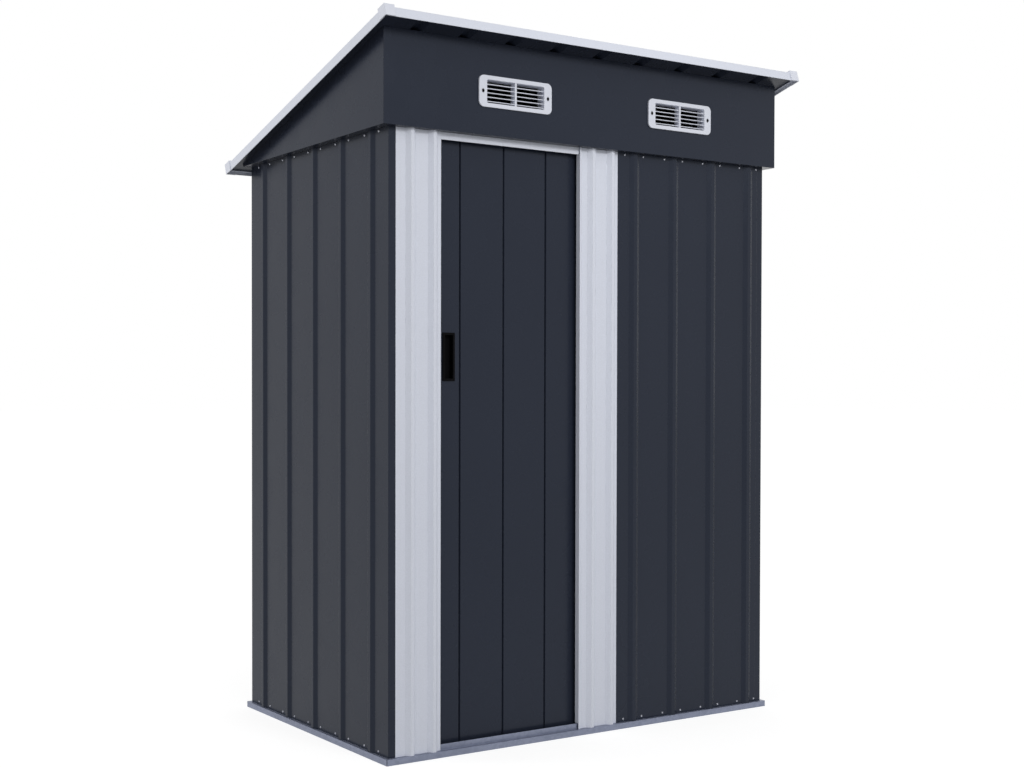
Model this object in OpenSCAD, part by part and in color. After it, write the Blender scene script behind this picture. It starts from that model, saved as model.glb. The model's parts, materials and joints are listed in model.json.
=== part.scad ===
// Metal tool shed with a single-slope roof and one sliding door.
// Millimetres. X runs to the right seen from the door side, Y to the back, Z up.
// The origin is on the ground below the middle of the overall box.

/* [Base frame] */
// Width of the base frame over its outer lips
base_w = 1330; // [1250:5:1450]
// Depth of the base frame over its outer lips
base_d = 770; // [700:5:900]
// Height of the outer lip and ledge of the base rails
rail_lip_h = 16; // [12:1:20]
// Height of the upstand that the walls are screwed to
rail_upstand_h = 31; // [27:1:38]
// Depth of the foot flange that lies on the ground
rail_foot = 18; // [15:1:22]
// Sheet thickness of the base rails
rail_t = 1.5; // [1:0.1:2]
// Open gap left at each mitred corner of the base rails
mitre_gap = 2; // [0.5:0.5:4]

/* [Walls] */
// Height of the wall tops above the ground
wall_top = 1592; // [1500:2:1700]
// Setback of the wall faces behind the outer lip of the base
wall_inset = 11; // [10:0.5:13]
// Sheet thickness of walls, gables, roof and door
sheet_t = 1; // [0.8:0.1:1.2]
// Distance between neighbouring ribs
rib_pitch = 147; // [138:1:152]
// Width of a rib where it leaves the sheet
rib_base_w = 36; // [32:1:40]
// Width of the flat top of a rib
rib_crest_w = 12; // [8:1:16]
// Height of a wall rib
rib_h = 7.2; // [5:0.2:9]
// Width of the corner fold of the side walls
corner_fold = 21; // [16:1:26]
// Flat left between the outermost rib and a sheet edge, at least
edge_flat = 23; // [20:1:26]

/* [Door posts] */
// Width of each white door post
post_w = 137; // [128:1:145]
// Height of the two ribs of a post
post_rib_h = 10; // [7:0.5:10.5]
// Width of a post rib where it leaves the sheet
post_rib_base = 31; // [28:1:34]
// Width of the flat top of a post rib
post_rib_crest = 9; // [7:1:12]
// Distance between the two ribs of a post
post_rib_pitch = 68; // [62:1:72]
// Shift of the rib pair to the right of the post middle
post_rib_shift = 10; // [6:1:12]
// Rise of the lip along the door edge of the right post
post_lip = 4; // [2:0.5:6]
// Width of that lip with its slope
post_lip_w = 10; // [8:1:14]
// Depth of the jamb fold behind the post face
post_jamb = 11; // [8:0.5:12]

/* [Sliding door] */
// Clear width between the two door posts
opening_w = 452; // [420:2:500]
// Overlap of the closed door behind the left post
door_lap_left = 26; // [20:1:40]
// Overlap of the closed door behind the right post
door_lap_right = 22; // [12:1:30]
// Running gap around the door
door_gap = 6; // [5.5:0.5:8]
// Depth of the folded door edges
door_edge = 14; // [12:1:16]
// Distance between the pressed grooves of the door
door_groove_pitch = 140; // [125:1:145]
// Distance of the middle groove to the left of the door middle
door_groove_shift = 11; // [0:1:20]
// Width of a door groove at the door face
door_groove_w = 6; // [5:0.5:9]
// Width of the bottom of a door groove
door_groove_floor = 1.5; // [1:0.5:3]
// Depth of a door groove
door_groove_d = 5; // [3:0.5:6]
// Height of the stiffening rails of the door
door_rail_h = 30; // [24:1:40]
// Width of the hangers and bottom guides
slider_w = 40; // [30:1:50]
// Distance of the hangers and guides from the door edges
slider_in = 60; // [50:1:80]

/* [Door handle] */
// Width of the handle plate
handle_w = 37; // [32:1:42]
// Height of the handle plate
handle_h = 124; // [110:1:140]
// Height of the handle centre above the ground
handle_z = 1022; // [950:2:1080]
// Distance from the door edge to the handle centre
handle_in = 63; // [56:1:66]
// Thickness of the handle plate in front of the door
handle_plate = 3; // [2:0.5:4]
// Width of the rim around the finger recess
handle_rim = 6; // [5:0.5:8]
// Depth of the finger recess behind the door face
handle_depth = 11; // [8:0.5:12]

/* [Door track] */
// Height of the white header strip above the doorway
header_h = 19; // [15:1:24]
// Sheet thickness of header and track
track_t = 1.2; // [1:0.1:1.5]
// Width of the hook flange that carries the hangers
track_hook = 12; // [10:0.5:12]
// Width of the hanger hook above the flange
hanger_hook = 11; // [9:0.5:11]

/* [Gables] */
// Reach of the front gable panel in front of the base
gable_front = 10; // [8:0.5:14]
// Reach of the side gable panels beyond the base
gable_side = 17; // [14:0.5:20]
// Depth of the folded flanges along the gable edges
gable_flange = 40; // [34:1:45]
// Depth of the sloping flange under the roof
gable_seat = 20; // [14:1:26]

/* [Air vents] */
// Width of an air vent
vent_w = 236; // [220:1:250]
// Height of an air vent
vent_h = 81; // [72:1:88]
// Distance between the two vent centres
vent_spacing = 578; // [540:2:620]
// Shift of the vent pair to the right of the middle
vent_shift = 12; // [0:1:20]
// Height of the vent centres above the wall tops
vent_rise = 112; // [100:1:120]
// Thickness of the vent frame in front of the panel
vent_face = 4; // [3:0.5:5]
// Corner radius of the vent frame
vent_r = 15; // [8:1:18]
// Border left and right of the louvres
vent_side = 25; // [20:1:28]
// Border above and below the louvres
vent_edge = 10.5; // [9:0.5:12]
// Depth of the vent sleeve behind the panel
vent_depth = 24; // [18:1:28]
// Wall thickness of the vent sleeve
vent_wall = 2; // [1.5:0.1:2.5]
// Gap between the vent sleeve and the window in the gable
vent_fit = 1; // [0.5:0.1:1.5]
// Corner radius of the louvre window
vent_in_r = 4; // [2:0.5:6]
// Number of louvre slats
vent_slats = 5; // [4:1:6]
// Thickness of a louvre slat
slat_t = 2; // [1.6:0.1:2.4]
// Depth of a louvre slat
slat_d = 12; // [9:1:14]
// Rise of a louvre slat towards its back edge
slat_rise = 2; // [1:0.5:4]
// Setback of the louvre slats behind the vent face
slat_in = 2; // [1:0.5:3]
// Width of the bar between the vent halves
vent_bar = 6; // [4:0.5:8]
// Depth of the bar between the vent halves
vent_bar_d = 18; // [15:1:21]
// Width of the upright screw slots in the vent border
vent_screw_w = 6; // [5:0.5:7]
// Height of those screw slots
vent_screw_h = 11; // [9:0.5:13]

/* [Roof] */
// Slope of the roof in degrees
roof_pitch = 16.9; // [14:0.1:18]
// Reach of the roof beyond each side gable
roof_side = 31; // [24:1:40]
// Reach of the roof in front of the base
roof_front = 67; // [52:1:80]
// Reach of the roof behind the base
roof_back = 36; // [28:1:44]
// Height of the roof sheet above the back wall line
roof_seat = 5.5; // [4:0.5:8]
// Height of a roof rib
roof_rib_h = 11; // [8:0.5:12]
// Face height of the white roof trims
trim_h = 25; // [24:0.5:28]
// Drop of the trims below the roof sheet
trim_drop = 10; // [8:0.5:11]
// Width of the trim flanges
trim_flange = 9; // [7:0.5:12]
// Sheet thickness of the trims
trim_t = 1.2; // [1:0.1:1.5]
// Length of each leg of a corner cap
cap_leg = 28; // [24:1:36]
// Wall thickness of a corner cap
cap_t = 2; // [1.5:0.1:2.5]
// Rise of a corner cap above the trims
cap_rise = 6; // [4:0.5:8]

/* [Hidden] */

dark = [0.20, 0.21, 0.24];
white = [0.86, 0.87, 0.90];
zinc = [0.60, 0.61, 0.64];
black = [0.04, 0.04, 0.05];

cap_top = trim_h - trim_drop + cap_rise;
roof_run = roof_front + base_d + roof_back;
roof_len = roof_run / cos(roof_pitch);
base_front = roof_front - roof_run / 2 - (cap_top - trim_drop) * sin(roof_pitch) / 2;
base_back = base_front + base_d;
base_mid = base_front + base_d / 2;

fit_gap = 0.2;
over = 1;
wall_x = base_w / 2 - wall_inset;
wall_front = base_front + wall_inset;
wall_back = base_back - wall_inset;
wall_in_x = wall_x - sheet_t;
wall_in_front = wall_front + sheet_t;
wall_in_back = wall_back - sheet_t;
wall_h = wall_top - rail_lip_h;
rail_in = wall_inset + sheet_t;

side_run = wall_back - wall_front;
side_ribs = rib_rows(side_run, 0);
back_ribs = rib_rows(2 * wall_x, 0);
back_split = len(back_ribs) % 2 == 1 ? rib_pitch / 2 : 0;
roof_lap = rib_pitch * (1 + (len(back_ribs) % 2) / 2);

post_ribs = [for (i = [-1, 1]) post_w / 2 + post_rib_shift + i * post_rib_pitch / 2];
post_left_x = -wall_x + corner_fold;
opening_x0 = post_left_x + post_w;
opening_x1 = opening_x0 + opening_w;
panel_x0 = opening_x1 + post_w;
panel_x1 = wall_x - corner_fold;
front_ribs = rib_rows(wall_x - panel_x0, (wall_x + panel_x0) / 2);

door_w = opening_w + door_lap_left + door_lap_right;
door_x0 = opening_x0 - door_lap_left;
door_x1 = door_x0 + door_w;
door_mid = door_x0 + door_w / 2;
door_face = wall_front + max(post_jamb, sheet_t + rail_t) + door_gap + handle_plate;
door_in = door_face + sheet_t;
door_rear = door_face + door_edge;
door_z0 = rail_lip_h + door_gap;
hanger_lift = 9;
hanger_seat = 0.3;
hanger_foot = 4;
hook_lift = 1;
door_z1 = wall_top - track_t - door_gap - hanger_lift;

cup_w = handle_w - 2 * handle_rim;
cup_h = handle_h - 2 * handle_rim;
cup_wall = 2;
cup_rim = cup_wall + 1;

hanger_t = 3;
guide_t = 10;
guide_drop = 12;
track_tip = door_rear + hanger_t + door_gap;
track_lip = track_tip + track_hook - track_t;
track_rear = track_lip + track_t;
hook_z = door_z1 + hook_lift - hanger_seat - track_t;
side_rail_mid = (wall_in_back - header_h + track_rear) / 2;
rail_x = wall_in_x - fit_gap;

gable_y = base_front - gable_front;
gable_x = base_w / 2 + gable_side;
flange_y = gable_y + gable_flange;
roof_w = 2 * (gable_x + roof_side);

function roof_z(y) = wall_top + roof_seat + tan(roof_pitch) * (wall_back - y);
gable_h = roof_z(gable_y + sheet_t) - wall_top;
vent_in_w = vent_w - 2 * vent_side;
vent_in_h = vent_h - 2 * vent_edge;
vent_rim = vent_wall + vent_fit;

// Rib centres of a sheet of width w around the centre c.
function rib_rows(w, c) =
    let (n = floor((w - rib_base_w - 2 * edge_flat) / rib_pitch) + 1)
    [for (i = [0 : n - 1]) c + (i - (n - 1) / 2) * rib_pitch];

// Outline of a ribbed sheet from x0 to x1, its ribs pointing to negative y.
function ribbed_line(x0, x1, rows, h, y, base = rib_base_w, crest = rib_crest_w) = concat(
    [[x0, y]],
    [for (c = rows) if (c > x0 && c < x1) each [
        [c - base / 2, y], [c - crest / 2, y - h], [c + crest / 2, y - h], [c + base / 2, y]
    ]],
    [[x1, y]]
);

function reversed(list) = [for (i = [len(list) - 1 : -1 : 0]) list[i]];

module ribbed_section(x0, x1, rows, h) {
    polygon(concat(
        ribbed_line(x0, x1, rows, h, 0),
        reversed(ribbed_line(x0, x1, rows, h, sheet_t))
    ));
}

// Places children on the roof slope: x across, y down the slope from the front edge, z out of the roof.
module on_roof() {
    translate([0, base_front - roof_front, roof_z(base_front - roof_front)])
        rotate([-roof_pitch, 0, 0]) children();
}

// Runs a y-z section along x.
module along_x(x0, x1) {
    translate([x0, 0, 0]) rotate([90, 0, 90]) linear_extrude(x1 - x0) children();
}

// Base frame

module rail_section() {
    square([rail_t, rail_lip_h]);
    square([rail_foot, rail_t]);
    translate([0, rail_lip_h - rail_t]) square([rail_in + rail_t, rail_t]);
    translate([rail_in, rail_lip_h - rail_t]) square([rail_t, rail_upstand_h - rail_lip_h + rail_t]);
}

module base_rail(length) {
    half = length / 2 - mitre_gap / 2;
    intersection() {
        along_x(-length / 2, length / 2) rail_section();
        linear_extrude(rail_upstand_h + over)
            polygon([
                [-half, 0],
                [half, 0],
                [half - rail_foot, rail_foot],
                [-half + rail_foot, rail_foot]
            ]);
    }
}

module base_rail_front() {
    color(zinc) translate([0, base_front, 0]) base_rail(base_w);
}

module base_rail_back() {
    color(zinc) translate([0, base_back, 0]) rotate(180) base_rail(base_w);
}

module base_rail_left() {
    color(zinc) translate([-base_w / 2, base_mid, 0]) rotate(-90) base_rail(base_d);
}

module base_rail_right() {
    color(zinc) translate([base_w / 2, base_mid, 0]) rotate(90) base_rail(base_d);
}

// Walls

module side_wall() {
    half = side_run / 2;
    linear_extrude(wall_h) {
        ribbed_section(-half, half, side_ribs, rib_h);
        translate([-half, 0]) square([sheet_t, corner_fold]);
        translate([half - sheet_t, 0]) square([sheet_t, corner_fold]);
    }
}

module left_wall() {
    color(dark) translate([-wall_x, base_mid, rail_lip_h]) rotate(-90) side_wall();
}

module right_wall() {
    color(dark) translate([wall_x, base_mid, rail_lip_h]) rotate(90) side_wall();
}

module back_sheet(x0, x1) {
    translate([0, wall_back, rail_lip_h]) rotate(180)
        linear_extrude(roof_z(wall_back) - rail_lip_h)
            ribbed_section(-x1, -x0, reversed(-back_ribs), rib_h);
}

module back_wall_left() {
    color(dark) back_sheet(-wall_x + corner_fold, back_split);
}

module back_wall_right() {
    color(dark) back_sheet(back_split, wall_x - corner_fold);
}

module front_wall_right() {
    color(dark) translate([0, wall_front, rail_lip_h])
        linear_extrude(wall_h) ribbed_section(panel_x0, panel_x1, front_ribs, rib_h);
}

// Door posts

// Outline of a post from its left edge, which stands out by the lip.
function post_line(y, lip) = concat(
    lip > 0 ? [[0, y - lip], [post_lip_w / 2, y - lip]] : [],
    ribbed_line(lip > 0 ? post_lip_w : 0, post_w, post_ribs, post_rib_h, y, post_rib_base, post_rib_crest)
);

module post(lip, jamb_x) {
    linear_extrude(wall_h) polygon(concat(post_line(0, lip), reversed(post_line(sheet_t, lip))));
    translate([jamb_x, -lip, rail_upstand_h - rail_lip_h + fit_gap])
        cube([sheet_t, lip + post_jamb, wall_top - header_h - rail_upstand_h - 2 * fit_gap]);
}

module left_door_post() {
    color(white) translate([post_left_x, wall_front, rail_lip_h]) post(0, post_w - sheet_t);
}

module right_door_post() {
    color(white) translate([opening_x1, wall_front, rail_lip_h]) post(post_lip, 0);
}

// Door header, track and top rails

module door_header() {
    color(white) translate([-rail_x, wall_in_front, wall_top - header_h])
        cube([2 * rail_x, track_t, header_h]);
}

module door_track() {
    y0 = wall_in_front + track_t;
    color(zinc) along_x(-rail_x, rail_x) {
        translate([y0, wall_top - track_t]) square([track_rear - y0, track_t]);
        translate([track_lip, hook_z]) square([track_t, wall_top - hook_z]);
        translate([track_tip, hook_z]) square([track_rear - track_tip, track_t]);
    }
}

module angle_section() {
    translate([0, wall_top - header_h]) square([track_t, header_h]);
    translate([0, wall_top - track_t]) square([header_h, track_t]);
}

module top_rail_back() {
    color(zinc) translate([0, wall_in_back, 0]) rotate(180)
        along_x(-rail_x, rail_x) angle_section();
}

module side_rail() {
    run = wall_in_back - header_h - track_rear;
    translate([0, -run / 2, 0]) rotate(90) mirror([0, 1, 0]) along_x(0, run) angle_section();
}

module top_rail_left() {
    color(zinc) translate([-wall_in_x, side_rail_mid, 0]) side_rail();
}

module top_rail_right() {
    color(zinc) translate([wall_in_x, side_rail_mid, 0]) rotate(180) side_rail();
}

// Gables

module vent_window(side) {
    translate([vent_shift + side * vent_spacing / 2, gable_y, wall_top + vent_rise]) children();
}

module front_gable() {
    in_x = gable_x - sheet_t;
    color(dark) difference() {
        union() {
            translate([-gable_x, gable_y, wall_top]) cube([2 * gable_x, sheet_t, gable_h]);
            translate([-in_x, gable_y, wall_top]) cube([2 * in_x, gable_flange, sheet_t]);
            intersection() {
                on_roof() translate([-in_x, 0, -sheet_t]) cube([2 * in_x, roof_len, sheet_t]);
                translate([-in_x, gable_y, wall_top]) cube([2 * in_x, gable_seat, 2 * gable_h]);
            }
        }
        for (side = [-1, 1])
            vent_window(side) upright(-over, sheet_t + over)
                square([vent_in_w + 2 * vent_rim, vent_in_h + 2 * vent_rim], center = true);
    }
}

module side_gable() {
    y0 = gable_y + sheet_t;
    y1 = wall_back;
    along_x(0, sheet_t) polygon([[y0, wall_top], [y1, wall_top], [y1, roof_z(y1)], [y0, roof_z(y0)]]);
    translate([0, flange_y, wall_top]) cube([gable_flange, y1 - flange_y, sheet_t]);
    seat_y = gable_y + gable_seat;
    along_x(0, gable_seat) polygon([
        [seat_y, roof_z(seat_y)],
        [y1, roof_z(y1)],
        [y1, roof_z(y1) - sheet_t],
        [seat_y, roof_z(seat_y) - sheet_t]
    ]);
}

module left_gable() {
    color(dark) translate([-gable_x, 0, 0]) side_gable();
}

module right_gable() {
    color(dark) mirror([1, 0, 0]) translate([-gable_x, 0, 0]) side_gable();
}

// Air vents

module rounded(w, h, r) {
    square([w - 2 * r, h], center = true);
    square([w, h - 2 * r], center = true);
    for (sx = [-1, 1], sz = [-1, 1])
        translate([sx * (w / 2 - r), sz * (h / 2 - r)]) circle(r, $fn = 32);
}

module upright_slot(w, h) {
    square([w, h - w], center = true);
    for (end = [-1, 1])
        translate([0, end * (h - w) / 2]) circle(w / 2, $fn = 32);
}

// Stands a flat shape up in the gable plane, from y0 to y1.
module upright(y0, y1) {
    translate([0, y1, 0]) rotate([90, 0, 0]) linear_extrude(y1 - y0) children();
}

module air_vent() {
    step = vent_in_h / (vent_slats + 0.5);
    slat_w = vent_in_w + vent_wall;
    bar_h = vent_in_h + vent_wall;
    upright(-vent_face, 0) difference() {
        rounded(vent_w, vent_h, vent_r);
        rounded(vent_in_w, vent_in_h, vent_in_r);
        for (side = [-1, 1])
            translate([side * (vent_w - vent_side) / 2, 0])
                upright_slot(vent_screw_w, vent_screw_h);
    }
    upright(0, vent_depth) difference() {
        rounded(vent_in_w + 2 * vent_wall, vent_in_h + 2 * vent_wall, vent_in_r + vent_wall);
        rounded(vent_in_w, vent_in_h, vent_in_r);
    }
    translate([-vent_bar / 2, slat_in / 2 - vent_face, -bar_h / 2]) cube([vent_bar, vent_bar_d, bar_h]);
    for (i = [1 : vent_slats])
        translate([-slat_w / 2, slat_in - vent_face, vent_in_h / 2 - i * step])
            rotate([90, 0, 90]) linear_extrude(slat_w) polygon([
                [0, -slat_t],
                [slat_d, slat_rise - slat_t],
                [slat_d, slat_rise],
                [0, 0]
            ]);
}

module left_vent() {
    color(white) vent_window(-1) air_vent();
}

module right_vent() {
    color(white) vent_window(1) air_vent();
}

// Roof

module roof_sheet(x0, x1) {
    on_roof() translate([0, trim_t, sheet_t]) rotate([-90, 0, 0])
        linear_extrude(roof_len - 2 * trim_t) ribbed_section(x0, x1, back_ribs, roof_rib_h);
}

module roof_sheet_left() {
    color(dark) roof_sheet(-roof_w / 2 + trim_t, -roof_lap);
}

module roof_sheet_middle() {
    color(dark) roof_sheet(-roof_lap, roof_lap);
}

module roof_sheet_right() {
    color(dark) roof_sheet(roof_lap, roof_w / 2 - trim_t);
}

// Channel open towards positive x that takes the sheet edge; its web hangs below the sheet by the drop.
module trim_section() {
    translate([0, -trim_drop]) square([trim_t, trim_h]);
    translate([0, -fit_gap - trim_t]) square([trim_flange, trim_t]);
    translate([0, trim_h - trim_drop - trim_t]) square([trim_flange, trim_t]);
}

module roof_trim_front() {
    color(white) on_roof() along_x(-roof_w / 2, roof_w / 2) trim_section();
}

module roof_trim_back() {
    color(white) on_roof() translate([0, roof_len, 0]) rotate(180)
        along_x(-roof_w / 2, roof_w / 2) trim_section();
}

module roof_trim_left() {
    color(white) on_roof() translate([-roof_w / 2, roof_len - trim_flange, 0])
        rotate([90, 0, 0]) linear_extrude(roof_len - 2 * trim_flange) trim_section();
}

module roof_trim_right() {
    color(white) on_roof() translate([roof_w / 2, trim_flange, 0]) rotate(180)
        rotate([90, 0, 0]) linear_extrude(roof_len - 2 * trim_flange) trim_section();
}

module roof_cap() {
    difference() {
        translate([-cap_t, -cap_t, -trim_drop])
            cube([cap_leg + cap_t, cap_leg + cap_t, cap_top + trim_drop]);
        translate([0, 0, -trim_drop - over]) cube([cap_leg + over, cap_leg + over, trim_h + over]);
    }
}

module roof_cap_front_left() {
    color(white) on_roof() translate([-roof_w / 2, 0, 0]) roof_cap();
}

module roof_cap_front_right() {
    color(white) on_roof() translate([roof_w / 2, 0, 0]) rotate(90) roof_cap();
}

module roof_cap_back_left() {
    color(white) on_roof() translate([-roof_w / 2, roof_len, 0]) rotate(-90) roof_cap();
}

module roof_cap_back_right() {
    color(white) on_roof() translate([roof_w / 2, roof_len, 0]) rotate(180) roof_cap();
}

// Sliding door

// Outline of the door sheet with its grooves pressed to positive y, each wider by spread.
function grooved_line(y, spread) = ribbed_line(
    door_x0, door_x1, [for (i = [-1 : 1]) door_mid - door_groove_shift + i * door_groove_pitch],
    -door_groove_d, y, door_groove_w + spread, door_groove_floor + spread
);

module door_panel() {
    color(dark) difference() {
        translate([0, door_face, door_z0]) linear_extrude(door_z1 - door_z0) {
            polygon(concat(grooved_line(0, 0), reversed(grooved_line(sheet_t, 2 * sheet_t))));
            translate([door_x0, 0]) square([sheet_t, door_edge]);
            translate([door_x1 - sheet_t, 0]) square([sheet_t, door_edge]);
        }
        translate([door_x0 + handle_in, door_face, handle_z]) upright(-over, sheet_t + over)
            square([cup_w + 2 * cup_rim, cup_h + 2 * cup_rim], center = true);
    }
}

// Angle between the folded door edges, its flange ending behind the grooves.
module door_rail_section() {
    depth = door_rear - door_in;
    front = door_groove_d + fit_gap;
    translate([front, door_rail_h - track_t]) square([depth - front, track_t]);
    translate([depth - track_t, 0]) square([track_t, door_rail_h]);
}

module door_top_rail() {
    color(zinc) translate([0, door_in, door_z1 - door_rail_h])
        along_x(door_x0 + sheet_t, door_x1 - sheet_t) door_rail_section();
}

module door_bottom_rail() {
    color(zinc) translate([0, door_in, door_z0 + door_rail_h]) mirror([0, 0, 1])
        along_x(door_x0 + sheet_t, door_x1 - sheet_t) door_rail_section();
}

module door_hanger(x) {
    color(black) translate([x - slider_w / 2, door_rear, 0]) {
        translate([0, 0, door_z1 - door_rail_h + hanger_foot])
            cube([slider_w, hanger_t, door_rail_h - hanger_foot + hanger_lift]);
        translate([0, 0, door_z1 + hook_lift])
            cube([slider_w, hanger_t + hanger_hook, hanger_lift - hook_lift]);
    }
}

module door_hanger_left() {
    door_hanger(door_x0 + slider_in);
}

module door_hanger_right() {
    door_hanger(door_x1 - slider_in);
}

module door_guide(x) {
    color(black) translate([x - slider_w / 2, door_in, door_z0 - guide_drop])
        cube([slider_w, guide_t, guide_drop]);
}

module door_guide_left() {
    door_guide(door_x0 + slider_in);
}

module door_guide_right() {
    door_guide(door_x1 - slider_in);
}

module door_handle() {
    color(black) translate([door_x0 + handle_in, door_face, handle_z]) difference() {
        union() {
            upright(-handle_plate, 0) square([handle_w, handle_h], center = true);
            upright(0, handle_depth + cup_wall)
                square([cup_w + 2 * cup_wall, cup_h + 2 * cup_wall], center = true);
        }
        upright(-handle_plate - over, handle_depth) square([cup_w, cup_h], center = true);
    }
}

base_rail_front();
base_rail_back();
base_rail_left();
base_rail_right();
left_wall();
right_wall();
back_wall_left();
back_wall_right();
front_wall_right();
left_door_post();
right_door_post();
door_header();
door_track();
top_rail_back();
top_rail_left();
top_rail_right();
front_gable();
left_gable();
right_gable();
left_vent();
right_vent();
roof_sheet_left();
roof_sheet_middle();
roof_sheet_right();
roof_trim_front();
roof_trim_back();
roof_trim_left();
roof_trim_right();
roof_cap_front_left();
roof_cap_front_right();
roof_cap_back_left();
roof_cap_back_right();
door_panel();
door_top_rail();
door_bottom_rail();
door_hanger_left();
door_hanger_right();
door_guide_left();
door_guide_right();
door_handle();
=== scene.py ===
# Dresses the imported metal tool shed: camera, light, materials and small fasteners.
import json
import math

import bmesh
import bpy
from mathutils import Matrix, Vector


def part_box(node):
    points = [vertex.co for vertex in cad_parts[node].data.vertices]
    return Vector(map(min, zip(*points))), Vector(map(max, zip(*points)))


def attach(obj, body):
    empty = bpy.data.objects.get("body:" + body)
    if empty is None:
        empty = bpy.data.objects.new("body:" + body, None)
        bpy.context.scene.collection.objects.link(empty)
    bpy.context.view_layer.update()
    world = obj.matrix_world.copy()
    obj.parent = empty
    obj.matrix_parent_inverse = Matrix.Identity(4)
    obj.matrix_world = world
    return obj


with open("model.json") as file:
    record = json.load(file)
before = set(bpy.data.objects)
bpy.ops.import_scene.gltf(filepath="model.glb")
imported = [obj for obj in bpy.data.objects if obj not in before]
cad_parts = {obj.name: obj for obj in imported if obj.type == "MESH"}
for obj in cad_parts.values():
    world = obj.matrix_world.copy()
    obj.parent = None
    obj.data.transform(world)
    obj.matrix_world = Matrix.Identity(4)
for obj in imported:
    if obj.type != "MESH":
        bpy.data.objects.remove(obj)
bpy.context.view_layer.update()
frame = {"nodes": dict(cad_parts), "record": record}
nodes = frame["nodes"]
scene = bpy.context.scene
scene.view_settings.view_transform = "Standard"

# One millimetre in the scene's metres
MM = 0.001


# Camera, fitted to the photograph

SENSOR_WIDTH = 36.0
LENS = 49.054
SHIFT_X = 0.1729
SHIFT_Y = 0.0293
VIEW_DEPTH = 200.0
CAMERA_PLACE = (-2.52315, -3.28710, 0.93172)
# Degrees that the camera looks down from level, and that it is turned to the right of straight on
LOOK_DOWN = 0.905
TURN_RIGHT = 30.367


def add_camera():
    """The camera at the photograph's place, left of the door and looking almost level."""
    data = bpy.data.cameras.new("camera")
    data.sensor_width = SENSOR_WIDTH
    data.lens = LENS
    data.shift_x = SHIFT_X
    data.shift_y = SHIFT_Y
    data.clip_end = VIEW_DEPTH
    camera = bpy.data.objects.new("camera", data)
    scene.collection.objects.link(camera)
    camera.location = CAMERA_PLACE
    camera.rotation_mode = "XYZ"
    camera.rotation_euler = (math.radians(90.0 - LOOK_DOWN), 0.0, math.radians(-TURN_RIGHT))
    scene.camera = camera


# Node helpers

# Most of a noise texture's values lie between these two
NOISE_LOW = 0.3
NOISE_HIGH = 0.7
BEVEL_SAMPLES = 4


class Tree:
    """A material's nodes with a Principled shader, and short ways to add to them."""

    def __init__(self, name):
        self.material = bpy.data.materials.new(name)
        self.material.use_nodes = True
        self.tree = self.material.node_tree
        self.tree.nodes.clear()
        out = self.add("ShaderNodeOutputMaterial")
        self.bsdf = self.add("ShaderNodeBsdfPrincipled")
        self.link(self.bsdf.outputs["BSDF"], out.inputs["Surface"])
        self.coord = self.add("ShaderNodeTexCoord").outputs["Object"]

    def add(self, kind, **settings):
        """A new node with these settings."""
        node = self.tree.nodes.new(kind)
        for key, value in settings.items():
            setattr(node, key, value)
        return node

    def link(self, start, end):
        """Links an output to an input."""
        self.tree.links.new(start, end)

    def set(self, **values):
        """Sets what is the same all over the surface on the shader's own sockets."""
        for key, value in values.items():
            self.bsdf.inputs[key.replace("_", " ")].default_value = value

    def surface(self, colour, rough, normal):
        """Feeds the shader what changes over the surface."""
        self.link(colour, self.bsdf.inputs["Base Color"])
        self.link(rough, self.bsdf.inputs["Roughness"])
        self.link(normal, self.bsdf.inputs["Normal"])

    def scaled(self, factors):
        """The object's coordinates, scaled along each axis."""
        node = self.add("ShaderNodeMapping")
        node.inputs["Scale"].default_value = factors
        self.link(self.coord, node.inputs["Vector"])
        return node.outputs["Vector"]

    def noise(self, scale, detail, vector=None):
        """Soft noise in the object's coordinates or in these."""
        node = self.add("ShaderNodeTexNoise")
        node.inputs["Scale"].default_value = scale
        node.inputs["Detail"].default_value = detail
        self.link(vector or self.coord, node.inputs["Vector"])
        return node.outputs["Fac"]

    def cells(self, scale):
        """Cells that each have one random colour."""
        node = self.add("ShaderNodeTexVoronoi")
        node.inputs["Scale"].default_value = scale
        self.link(self.coord, node.inputs["Vector"])
        return node.outputs["Color"]

    def spread(self, noise, low, high):
        """Noise stretched to run from low to high."""
        node = self.add("ShaderNodeMapRange")
        node.inputs["From Min"].default_value = NOISE_LOW
        node.inputs["From Max"].default_value = NOISE_HIGH
        node.inputs["To Min"].default_value = low
        node.inputs["To Max"].default_value = high
        self.link(noise, node.inputs["Value"])
        return node.outputs["Result"]

    def blend(self, value, start, end, deep, light):
        """A colour that goes from deep to light as the value goes from start to end."""
        node = self.add("ShaderNodeValToRGB")
        stops = ((start, deep), (end, light))
        for element, (place, colour) in zip(node.color_ramp.elements, stops):
            element.position = place
            element.color = (*colour, 1.0)
        self.link(value, node.inputs["Fac"])
        return node.outputs["Color"]

    def times(self, colour, factor):
        """A colour made lighter or darker by a factor."""
        node = self.add("ShaderNodeVectorMath", operation="SCALE")
        self.link(colour, node.inputs[0])
        self.link(factor, node.inputs["Scale"])
        return node.outputs[0]

    def bump(self, height, distance, strength, normal):
        """A normal bent by a height, on top of another normal."""
        node = self.add("ShaderNodeBump")
        node.inputs["Distance"].default_value = distance
        node.inputs["Strength"].default_value = strength
        self.link(height, node.inputs["Height"])
        self.link(normal, node.inputs["Normal"])
        return node.outputs["Normal"]

    def rounded(self, radius):
        """A normal that rounds the edges by this radius."""
        node = self.add("ShaderNodeBevel", samples=BEVEL_SAMPLES)
        node.inputs["Radius"].default_value = radius
        return node.outputs["Normal"]


# Materials

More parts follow.
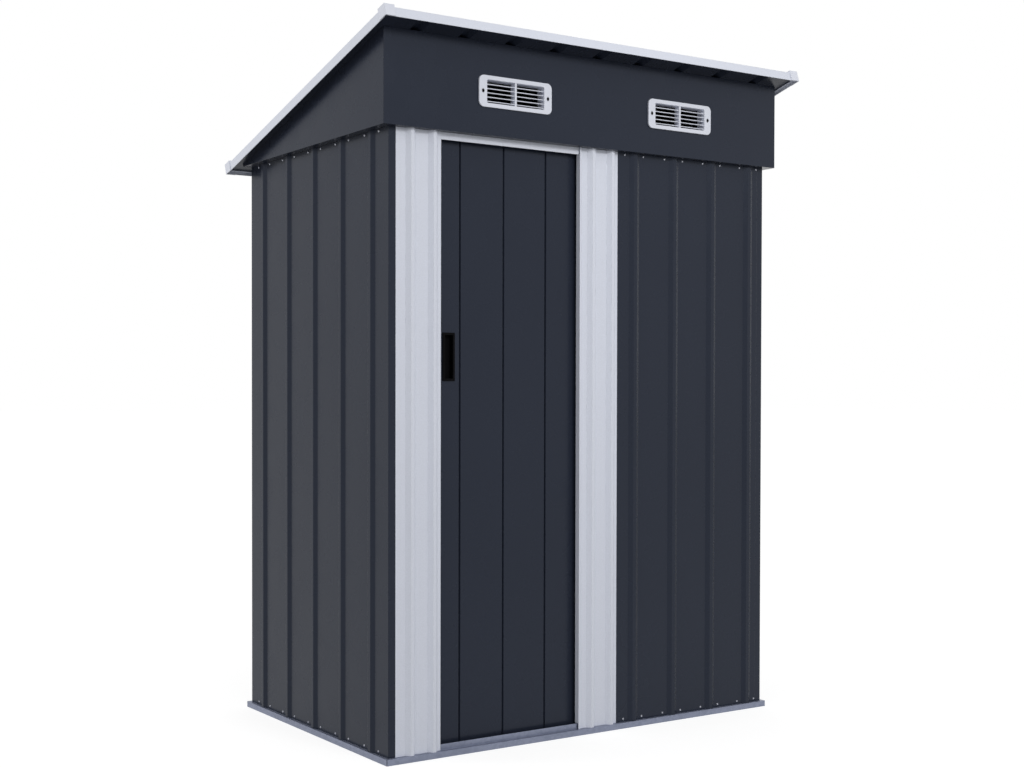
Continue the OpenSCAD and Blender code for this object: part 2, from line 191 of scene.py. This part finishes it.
def painted(name, light, deep, rough, radius, gloss, tint):
    """Coated sheet steel: faint tone drift, fine film texture and a slightly wavy sheet."""
    t = Tree(name)
    drift = t.blend(t.noise(scale=2.2, detail=3.0), start=0.30, end=0.70, deep=deep, light=light)
    film = t.spread(t.noise(scale=420.0, detail=2.0), low=0.96, high=1.04)
    wave = t.noise(scale=5.0, detail=1.0)
    sheet = t.bump(wave, distance=0.9 * MM, strength=0.5, normal=t.rounded(radius))
    grain = t.noise(scale=650.0, detail=2.0)
    t.surface(
        colour=t.times(drift, film),
        rough=t.spread(t.noise(scale=14.0, detail=4.0), low=rough - 0.04, high=rough + 0.05),
        normal=t.bump(grain, distance=0.04 * MM, strength=0.5, normal=sheet),
    )
    t.set(Specular_IOR_Level=gloss, Specular_Tint=tint)
    return t.material


def moulded(name, light, deep, rough, radius, gloss):
    """Moulded plastic: even tone with a fine grain."""
    t = Tree(name)
    grain = t.noise(scale=1400.0, detail=1.0)
    t.surface(
        colour=t.blend(t.noise(scale=30.0, detail=3.0), start=0.35, end=0.65, deep=deep, light=light),
        rough=t.spread(t.noise(scale=90.0, detail=3.0), low=rough - 0.05, high=rough + 0.05),
        normal=t.bump(grain, distance=0.06 * MM, strength=0.5, normal=t.rounded(radius)),
    )
    t.set(Specular_IOR_Level=gloss)
    return t.material


def galvanised(name, light, deep, rough, radius, metal):
    """Zinc-coated steel with a soft crystal pattern and rolling streaks."""
    t = Tree(name)
    crystals = t.blend(t.cells(scale=110.0), start=0.15, end=0.85, deep=deep, light=light)
    along = t.scaled((0.04, 0.04, 1.0))
    streaks = t.spread(t.noise(scale=60.0, detail=3.0, vector=along), low=0.9, high=1.06)
    grain = t.noise(scale=300.0, detail=2.0)
    t.surface(
        colour=t.times(crystals, streaks),
        rough=t.spread(t.noise(scale=40.0, detail=4.0), low=rough - 0.07, high=rough + 0.07),
        normal=t.bump(grain, distance=0.06 * MM, strength=0.4, normal=t.rounded(radius)),
    )
    t.set(Metallic=metal)
    return t.material


finish = {
    "dark_paint": painted(
        "dark_paint", light=(0.0180, 0.0226, 0.0370), deep=(0.0166, 0.0208, 0.0342),
        rough=0.26, radius=1.6 * MM, gloss=0.20, tint=(0.80, 0.87, 1.0, 1.0),
    ),
    "white_paint": painted(
        "white_paint", light=(0.715, 0.745, 0.835), deep=(0.70, 0.73, 0.82),
        rough=0.36, radius=1.6 * MM, gloss=0.40, tint=(1.0, 1.0, 1.0, 1.0),
    ),
    "white_plastic": moulded(
        "white_plastic", light=(0.74, 0.765, 0.85), deep=(0.72, 0.745, 0.83),
        rough=0.42, radius=1.2 * MM, gloss=0.40,
    ),
    "zinc": galvanised(
        "zinc", light=(0.245, 0.27, 0.365), deep=(0.21, 0.235, 0.32),
        rough=0.40, radius=0.9 * MM, metal=0.55,
    ),
    "black_plastic": moulded(
        "black_plastic", light=(0.0020, 0.0020, 0.0028), deep=(0.0014, 0.0014, 0.0020),
        rough=0.6, radius=1.0 * MM, gloss=0.05,
    ),
    "screw_steel": galvanised(
        "screw_steel", light=(0.46, 0.47, 0.52), deep=(0.36, 0.37, 0.42),
        rough=0.26, radius=0.9 * MM, metal=1.0,
    ),
}


def dress_nodes():
    """Gives each CAD node the material of its slot in the record."""
    for part in frame["record"]["subparts"]:
        shape = nodes[part["node"]]
        material = finish[part["material_slot"]]
        if not shape.material_slots:
            shape.data.materials.append(material)
        for place in shape.material_slots:
            place.material = material


# Small fasteners

SCREW_SIDES = 24
# Radius and height of each ring of a screw, in head radii, from the foot of the washer up
SCREW_RINGS = (
    (1.22, -0.06), (1.22, 0.12), (1.17, 0.18), (1.02, 0.18), (1.0, 0.30), (0.93, 0.46), (0.76, 0.58),
)
# The cross recess, in head radii: its reach, half the width of an arm, and the heights of rim and floor
CROSS_REACH = 0.62
CROSS_HALF = 0.20
CROSS_RIM = 0.62
CROSS_FLOOR = 0.34
# Size of the recess at its floor as a share of its size at the rim
CROSS_TAPER = 0.8
# Radians by which each screw of a row is turned further than the one before
SCREW_TURN = 0.7


def cross_radius(angle):
    """From the middle of a screw to the edge of its cross recess in this direction, in head radii."""
    lean = min(abs(math.cos(angle)), abs(math.sin(angle)))
    return min(CROSS_REACH, CROSS_HALF / lean)


def screw_into(bm, place, head_r):
    """A pan-head screw with a washer and a cross recess, its foot at the origin of place, up its z."""
    angles = [2 * math.pi * (i + 0.5) / SCREW_SIDES for i in range(SCREW_SIDES)]
    levels = [[ring] * SCREW_SIDES for ring in SCREW_RINGS]
    levels.append([(cross_radius(a), CROSS_RIM) for a in angles])
    levels.append([(CROSS_TAPER * cross_radius(a), CROSS_FLOOR) for a in angles])
    loops = []
    for level in levels:
        loops.append([
            bm.verts.new(place @ (head_r * Vector((r * math.cos(a), r * math.sin(a), z))))
            for a, (r, z) in zip(angles, level)
        ])
    for low, high in zip(loops, loops[1:]):
        for i in range(SCREW_SIDES):
            j = (i + 1) % SCREW_SIDES
            bm.faces.new((low[i], low[j], high[j], high[i]))
    bm.faces.new(loops[-1])
    bm.faces.new(loops[0][::-1])


def facing(point, outward, turn):
    """A frame at point with its z along outward, turned about it."""
    z = Vector(outward).normalized()
    turned = z.to_track_quat("Z", "Y").to_matrix().to_4x4() @ Matrix.Rotation(turn, 4, "Z")
    return Matrix.Translation(Vector(point)) @ turned


def add_screws(name, places, head_r, material, body="shed"):
    """One piece of many screws, each turned differently."""
    bm = bmesh.new()
    for i, (point, outward) in enumerate(places):
        screw_into(bm, facing(point, outward, SCREW_TURN * i), head_r)
    mesh = bpy.data.meshes.new(name)
    bm.to_mesh(mesh)
    bm.free()
    piece = bpy.data.objects.new(name, mesh)
    scene.collection.objects.link(piece)
    mesh.materials.append(material)
    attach(piece, body)


# The flat of each side wall, from the middle of the shed
WALL_X = 654 * MM
# The first rib of the front wall right of the door, and the distance between ribs on every wall
FRONT_RIB = 153 * MM
RIB_PITCH = 147 * MM
SIDE_RIBS = 5
FRONT_RIBS = 4
BACK_RIBS = 9
# From the middle of a rib to the screws beside it
BESIDE = 34 * MM
# Heights of the screw rows: under the gables, under the back edge of the roof and in the base frame
TOP_ROW = 1586 * MM
BACK_ROW = 1582 * MM
FOOT_ROW = 24 * MM
WALL_HEAD = 2.6 * MM
# From the middle of a vent to its screws
VENT_SCREW = 105.5 * MM
VENT_HEAD = 3.3 * MM


def centred_ribs(count, middle):
    """The ribs of a wall, as many on one side of its middle as on the other."""
    return [middle + (k - count // 2) * RIB_PITCH for k in range(count)]


def beside(ribs):
    """The places of the screws to the left and right of each rib."""
    return [rib + side * BESIDE for rib in ribs for side in (-1, 1)]


def wall_screws():
    """Two rows of screws in each wall, at its top and at its foot, beside the ribs."""
    lo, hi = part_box("left_wall")
    side_row = beside(centred_ribs(SIDE_RIBS, (lo.y + hi.y) / 2))
    for name, x, out in (("left", -WALL_X, -1), ("right", WALL_X, 1)):
        places = [((x, y, z), (out, 0, 0)) for z in (TOP_ROW, FOOT_ROW) for y in side_row]
        add_screws(f"{name}_wall_screws", places, WALL_HEAD, finish["screw_steel"])
    front_row = beside([FRONT_RIB + k * RIB_PITCH for k in range(FRONT_RIBS)])
    back_row = beside(centred_ribs(BACK_RIBS, 0.0))
    walls = (("front", lo.y, -1, TOP_ROW, front_row), ("back", hi.y, 1, BACK_ROW, back_row))
    for name, y, out, top, row in walls:
        places = [((x, y, z), (0, out, 0)) for z in (top, FOOT_ROW) for x in row]
        add_screws(f"{name}_wall_screws", places, WALL_HEAD, finish["screw_steel"])


def vent_screws():
    """Black screws over the upright slots of the vent borders."""
    for name in ("left", "right"):
        lo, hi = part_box(f"{name}_vent")
        mid = (lo + hi) / 2
        places = [((mid.x + s * VENT_SCREW, lo.y, mid.z), (0, -1, 0)) for s in (-1, 1)]
        add_screws(f"{name}_vent_screws", places, VENT_HEAD, finish["black_plastic"])


# Studio

# Strength of the world as a light, and of the white that the camera is shown
WORLD_LIGHT = 0.74
WHITE = 1.0
FLOOR_REACH = 60.0
# The floor as a reflector of light
FLOOR_SHADE = 0.50
# The floor that the camera is shown: its reflectance, and the glow that brings open ground to white
SHOWN_SHADE = 0.36
SHOWN_GLOW = 0.76
# The painted shade under the shed, where the floor has no glow, ends under the base rails, this far
# inside their outer edges
RAIL_COVER = 20 * MM


def math_node(tree, operation, *values):
    """The result of a Math node on outputs of other nodes and plain numbers."""
    node = tree.nodes.new("ShaderNodeMath")
    node.operation = operation
    for socket, value in zip(node.inputs, values):
        if isinstance(value, bpy.types.NodeSocket):
            tree.links.new(value, socket)
        else:
            socket.default_value = value
    return node.outputs[0]


def white_for_camera(tree):
    """One for rays that show the background to the camera, directly or by gloss or glass."""
    path = tree.nodes.new("ShaderNodeLightPath")
    shown = path.outputs["Is Camera Ray"]
    for other in ("Is Glossy Ray", "Is Transmission Ray"):
        shown = math_node(tree, "MAXIMUM", shown, path.outputs[other])
    return shown


def by_ray(tree, lighting, shown):
    """One shader for the light on the shed, and another for what the camera is shown."""
    mix = tree.nodes.new("ShaderNodeMixShader")
    for socket, value in zip(mix.inputs, (white_for_camera(tree), lighting, shown)):
        tree.links.new(value, socket)
    return mix.outputs[0]


def even_light(tree, strength):
    """A white sky of this strength all round."""
    sky = tree.nodes.new("ShaderNodeBackground")
    sky.inputs["Color"].default_value = (1.0, 1.0, 1.0, 1.0)
    sky.inputs["Strength"].default_value = strength
    return sky.outputs[0]


def add_world():
    """Even soft light, and a white background for the camera, gloss and glass."""
    world = bpy.data.worlds.new("studio")
    scene.world = world
    world.use_nodes = True
    tree = world.node_tree
    tree.nodes.clear()
    out = tree.nodes.new("ShaderNodeOutputWorld")
    sky = by_ray(tree, even_light(tree, WORLD_LIGHT), even_light(tree, WHITE))
    tree.links.new(sky, out.inputs["Surface"])


def painted_shade_mask(tree):
    """One on the ground inside the base frame and nought outside it: where the floor's glow is left out,
    as painted shade under the shed.
    """
    ground = tree.nodes.new("ShaderNodeNewGeometry")
    parts = tree.nodes.new("ShaderNodeSeparateXYZ")
    tree.links.new(ground.outputs["Position"], parts.inputs[0])
    spans = (
        (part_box("base_rail_left")[0].x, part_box("base_rail_right")[1].x),
        (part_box("base_rail_front")[0].y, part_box("base_rail_back")[1].y),
    )
    within = []
    for place, (low, high) in zip(parts.outputs, spans):
        half = (high - low) / 2 - RAIL_COVER
        within.append(math_node(tree, "COMPARE", place, (low + high) / 2, half))
    return math_node(tree, "MULTIPLY", *within)


def matt_grey(tree, shade):
    """A diffuse grey of this reflectance."""
    plain = tree.nodes.new("ShaderNodeBsdfDiffuse")
    plain.inputs["Color"].default_value = (shade, shade, shade, 1.0)
    return plain.outputs[0]


def lit_white(tree, shade, glow, inside):
    """A floor of this reflectance whose own glow brings open ground to white."""
    own = tree.nodes.new("ShaderNodeEmission")
    # The glow is left out where inside is one, which paints shade on the floor under the shed on top of
    # its real shade
    tree.links.new(math_node(tree, "MULTIPLY_ADD", inside, -glow, glow), own.inputs["Strength"])
    both = tree.nodes.new("ShaderNodeAddShader")
    tree.links.new(matt_grey(tree, shade), both.inputs[0])
    tree.links.new(own.outputs[0], both.inputs[1])
    return both.outputs[0]


def add_floor():
    """A pale plain floor, white to the camera and in gloss, with the shed's shadow on it and painted
    shade inside the base frame.
    """
    mesh = bpy.data.meshes.new("floor")
    r = FLOOR_REACH
    mesh.from_pydata([(-r, -r, 0), (r, -r, 0), (r, r, 0), (-r, r, 0)], [], [(0, 1, 2, 3)])
    floor = bpy.data.objects.new("floor", mesh)
    scene.collection.objects.link(floor)
    material = bpy.data.materials.new("floor")
    material.use_nodes = True
    tree = material.node_tree
    tree.nodes.clear()
    out = tree.nodes.new("ShaderNodeOutputMaterial")
    # No glow inside the base frame: painted shade under the shed
    shown = lit_white(tree, SHOWN_SHADE, SHOWN_GLOW, painted_shade_mask(tree))
    tree.links.new(by_ray(tree, matt_grey(tree, FLOOR_SHADE), shown), out.inputs["Surface"])
    mesh.materials.append(material)


def add_softbox(name, place, target, width, height, power, spread):
    """A rectangular lamp of so many watts, aimed at target, with a beam narrowed to spread degrees."""
    data = bpy.data.lights.new(name, "AREA")
    data.spread = math.radians(spread)
    data.shape = "RECTANGLE"
    data.size = width
    data.size_y = height
    data.energy = power
    lamp = bpy.data.objects.new(name, data)
    scene.collection.objects.link(lamp)
    lamp.location = place
    lamp.rotation_mode = "QUATERNION"
    lamp.rotation_quaternion = (Vector(target) - Vector(place)).to_track_quat("-Z", "Y")


def add_lamps():
    """Three weak lamps, kept out of the directions in which the ribs would mirror them to the camera."""
    add_softbox(
        "front_softbox", place=(0.1, -3.8, 3.1), target=(0.1, -0.3, 1.2),
        width=0.9, height=0.9, power=9.1, spread=80.0,
    )
    add_softbox(
        "left_softbox", place=(-3.7, 1.4, 3.2), target=(-0.6, 0.0, 1.5),
        width=1.2, height=1.0, power=8.0, spread=80.0,
    )
    add_softbox(
        "right_softbox", place=(3.6, -0.9, 1.7), target=(0.5, -0.2, 1.0),
        width=0.8, height=1.8, power=2.0, spread=120.0,
    )


add_camera()
dress_nodes()
wall_screws()
vent_screws()
add_world()
add_floor()
add_lamps()
